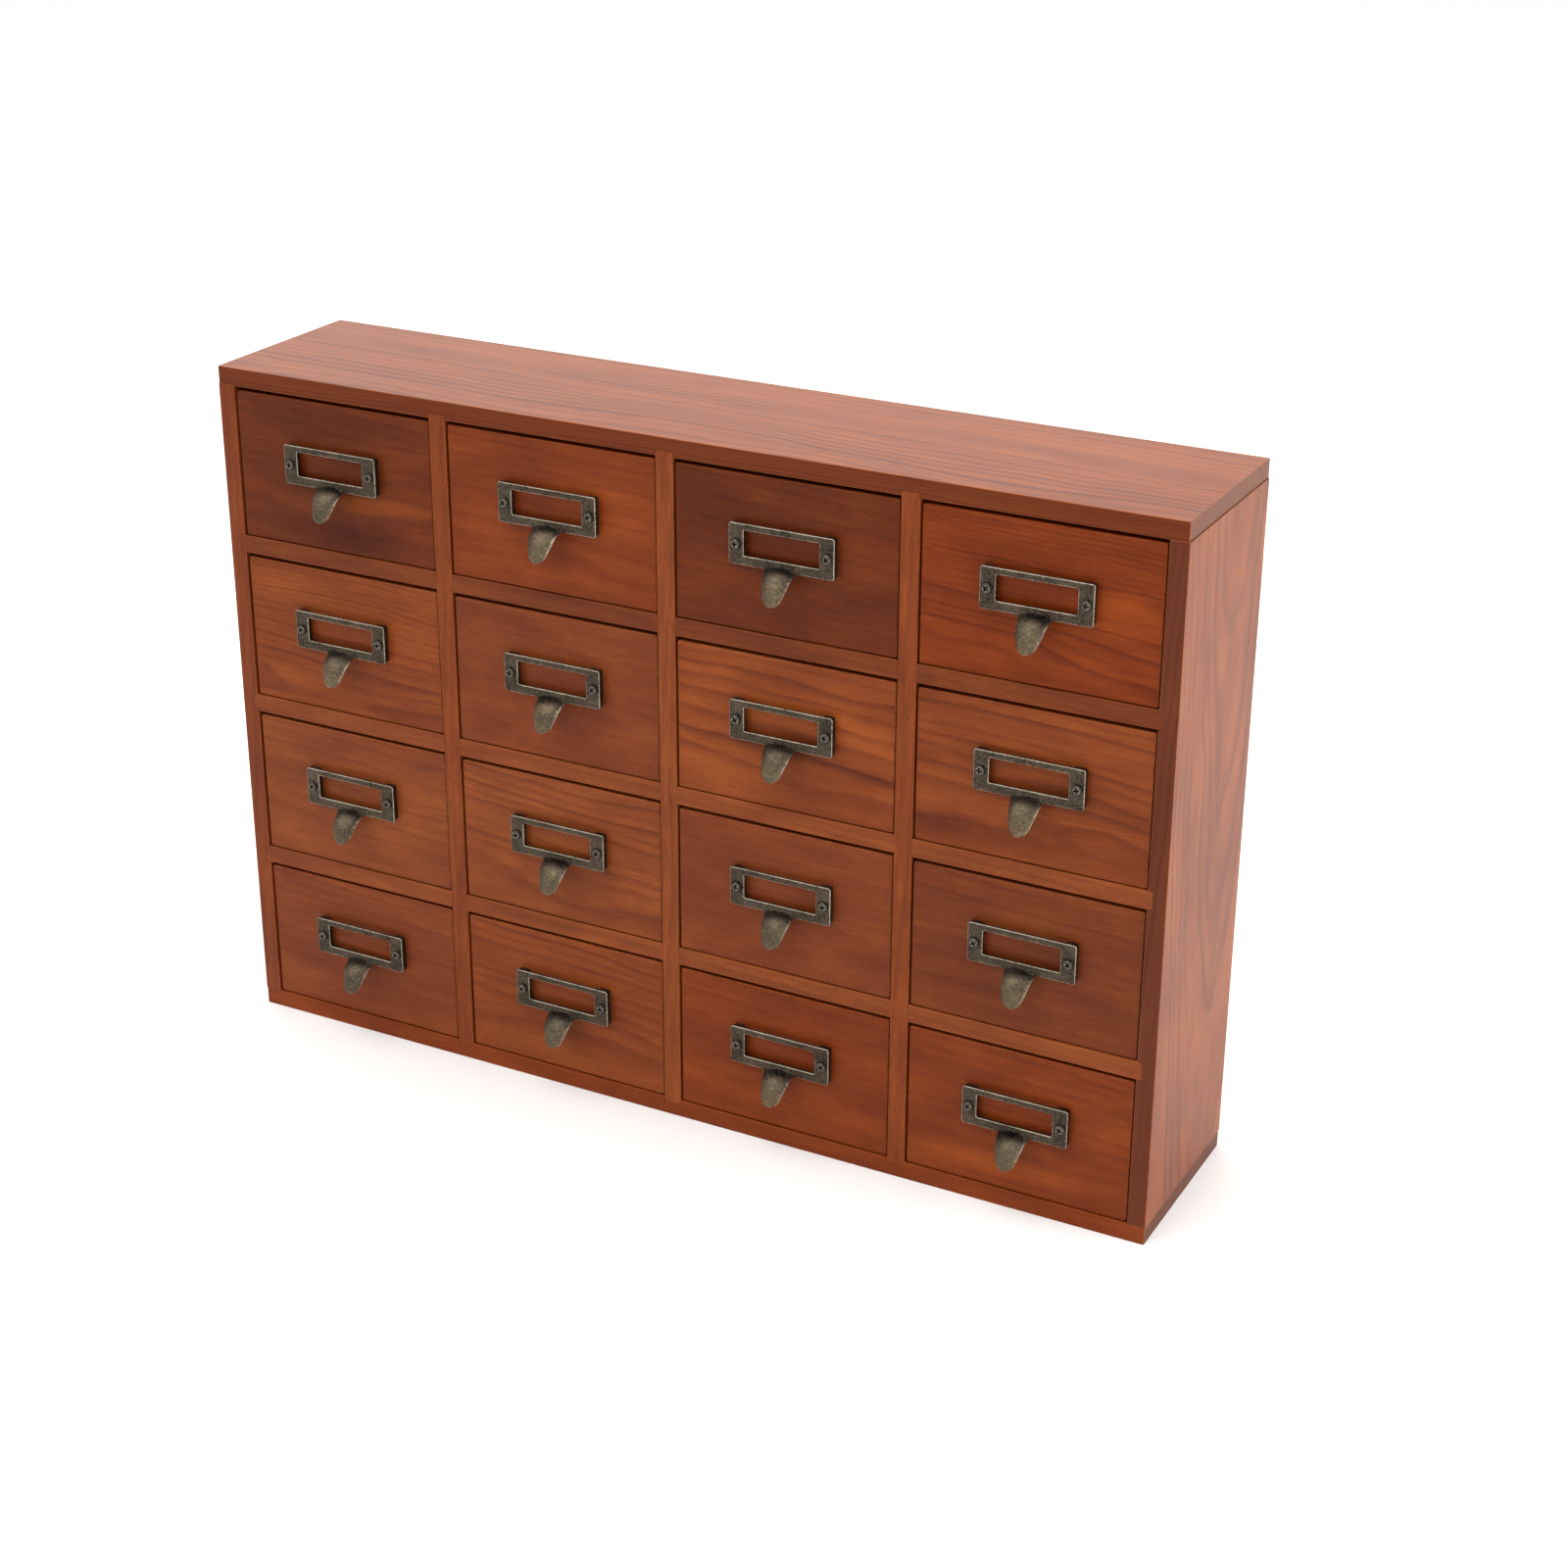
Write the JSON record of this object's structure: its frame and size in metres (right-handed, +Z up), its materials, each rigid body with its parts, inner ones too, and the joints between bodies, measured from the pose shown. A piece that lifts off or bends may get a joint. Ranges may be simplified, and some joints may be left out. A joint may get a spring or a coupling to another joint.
{
  "type": "apothecary cabinet",
  "caption": "Low wooden cabinet with a grid of small square-fronted drawers, each with a cast metal label-holder pull with a finger tongue.",
  "frame": {"origin": "centre of the carcass's base", "axes": "+X to the right seen from the front, +Y to the back, +Z up"},
  "size_m": [0.5, 0.1146, 0.35],
  "materials": {
    "stained_wood": "red-brown stained softwood under semi-gloss lacquer",
    "drawer_wood": "bare planed pale softwood",
    "plywood": "sanded plywood",
    "antique_bronze": "antiqued cast zinc alloy, rubbed bright on the edges",
    "steel": "bright wire nail"
  },
  "bodies": {
    "carcass": {"top_board": "stained_wood", "bottom_board": "stained_wood", "left_side_panel": "stained_wood", "right_side_panel": "stained_wood", "divider_left": "stained_wood", "divider_centre": "stained_wood", "divider_right": "stained_wood", "shelves_upper_row": "stained_wood", "shelves_middle_row": "stained_wood", "shelves_lower_row": "stained_wood", "back_panel": "plywood", "back_panel_nails": "steel"},
    "drawer_r1c1": {"drawer_r1c1_front": "stained_wood", "drawer_r1c1_box": "drawer_wood", "drawer_r1c1_pull": "antique_bronze"},
    "drawer_r1c2": {"drawer_r1c2_front": "stained_wood", "drawer_r1c2_box": "drawer_wood", "drawer_r1c2_pull": "antique_bronze"},
    "drawer_r1c3": {"drawer_r1c3_front": "stained_wood", "drawer_r1c3_box": "drawer_wood", "drawer_r1c3_pull": "antique_bronze"},
    "drawer_r1c4": {"drawer_r1c4_front": "stained_wood", "drawer_r1c4_box": "drawer_wood", "drawer_r1c4_pull": "antique_bronze"},
    "drawer_r2c1": {"drawer_r2c1_front": "stained_wood", "drawer_r2c1_box": "drawer_wood", "drawer_r2c1_pull": "antique_bronze"},
    "drawer_r2c2": {"drawer_r2c2_front": "stained_wood", "drawer_r2c2_box": "drawer_wood", "drawer_r2c2_pull": "antique_bronze"},
    "drawer_r2c3": {"drawer_r2c3_front": "stained_wood", "drawer_r2c3_box": "drawer_wood", "drawer_r2c3_pull": "antique_bronze"},
    "drawer_r2c4": {"drawer_r2c4_front": "stained_wood", "drawer_r2c4_box": "drawer_wood", "drawer_r2c4_pull": "antique_bronze"},
    "drawer_r3c1": {"drawer_r3c1_front": "stained_wood", "drawer_r3c1_box": "drawer_wood", "drawer_r3c1_pull": "antique_bronze"},
    "drawer_r3c2": {"drawer_r3c2_front": "stained_wood", "drawer_r3c2_box": "drawer_wood", "drawer_r3c2_pull": "antique_bronze"},
    "drawer_r3c3": {"drawer_r3c3_front": "stained_wood", "drawer_r3c3_box": "drawer_wood", "drawer_r3c3_pull": "antique_bronze"},
    "drawer_r3c4": {"drawer_r3c4_front": "stained_wood", "drawer_r3c4_box": "drawer_wood", "drawer_r3c4_pull": "antique_bronze"},
    "drawer_r4c1": {"drawer_r4c1_front": "stained_wood", "drawer_r4c1_box": "drawer_wood", "drawer_r4c1_pull": "antique_bronze"},
    "drawer_r4c2": {"drawer_r4c2_front": "stained_wood", "drawer_r4c2_box": "drawer_wood", "drawer_r4c2_pull": "antique_bronze"},
    "drawer_r4c3": {"drawer_r4c3_front": "stained_wood", "drawer_r4c3_box": "drawer_wood", "drawer_r4c3_pull": "antique_bronze"},
    "drawer_r4c4": {"drawer_r4c4_front": "stained_wood", "drawer_r4c4_box": "drawer_wood", "drawer_r4c4_pull": "antique_bronze"}
  },
  "joints": [
    {"name": "drawer_r1c1_slide", "type": "slide", "parent": "carcass", "child": "drawer_r1c1", "axis": [0, -1, 0], "range_m": [0, 0.07]},
    {"name": "drawer_r1c2_slide", "type": "slide", "parent": "carcass", "child": "drawer_r1c2", "axis": [0, -1, 0], "range_m": [0, 0.07]},
    {"name": "drawer_r1c3_slide", "type": "slide", "parent": "carcass", "child": "drawer_r1c3", "axis": [0, -1, 0], "range_m": [0, 0.07]},
    {"name": "drawer_r1c4_slide", "type": "slide", "parent": "carcass", "child": "drawer_r1c4", "axis": [0, -1, 0], "range_m": [0, 0.07]},
    {"name": "drawer_r2c1_slide", "type": "slide", "parent": "carcass", "child": "drawer_r2c1", "axis": [0, -1, 0], "range_m": [0, 0.07]},
    {"name": "drawer_r2c2_slide", "type": "slide", "parent": "carcass", "child": "drawer_r2c2", "axis": [0, -1, 0], "range_m": [0, 0.07]},
    {"name": "drawer_r2c3_slide", "type": "slide", "parent": "carcass", "child": "drawer_r2c3", "axis": [0, -1, 0], "range_m": [0, 0.07]},
    {"name": "drawer_r2c4_slide", "type": "slide", "parent": "carcass", "child": "drawer_r2c4", "axis": [0, -1, 0], "range_m": [0, 0.07]},
    {"name": "drawer_r3c1_slide", "type": "slide", "parent": "carcass", "child": "drawer_r3c1", "axis": [0, -1, 0], "range_m": [0, 0.07]},
    {"name": "drawer_r3c2_slide", "type": "slide", "parent": "carcass", "child": "drawer_r3c2", "axis": [0, -1, 0], "range_m": [0, 0.07]},
    {"name": "drawer_r3c3_slide", "type": "slide", "parent": "carcass", "child": "drawer_r3c3", "axis": [0, -1, 0], "range_m": [0, 0.07]},
    {"name": "drawer_r3c4_slide", "type": "slide", "parent": "carcass", "child": "drawer_r3c4", "axis": [0, -1, 0], "range_m": [0, 0.07]},
    {"name": "drawer_r4c1_slide", "type": "slide", "parent": "carcass", "child": "drawer_r4c1", "axis": [0, -1, 0], "range_m": [0, 0.07]},
    {"name": "drawer_r4c2_slide", "type": "slide", "parent": "carcass", "child": "drawer_r4c2", "axis": [0, -1, 0], "range_m": [0, 0.07]},
    {"name": "drawer_r4c3_slide", "type": "slide", "parent": "carcass", "child": "drawer_r4c3", "axis": [0, -1, 0], "range_m": [0, 0.07]},
    {"name": "drawer_r4c4_slide", "type": "slide", "parent": "carcass", "child": "drawer_r4c4", "axis": [0, -1, 0], "range_m": [0, 0.07]}
  ]
}
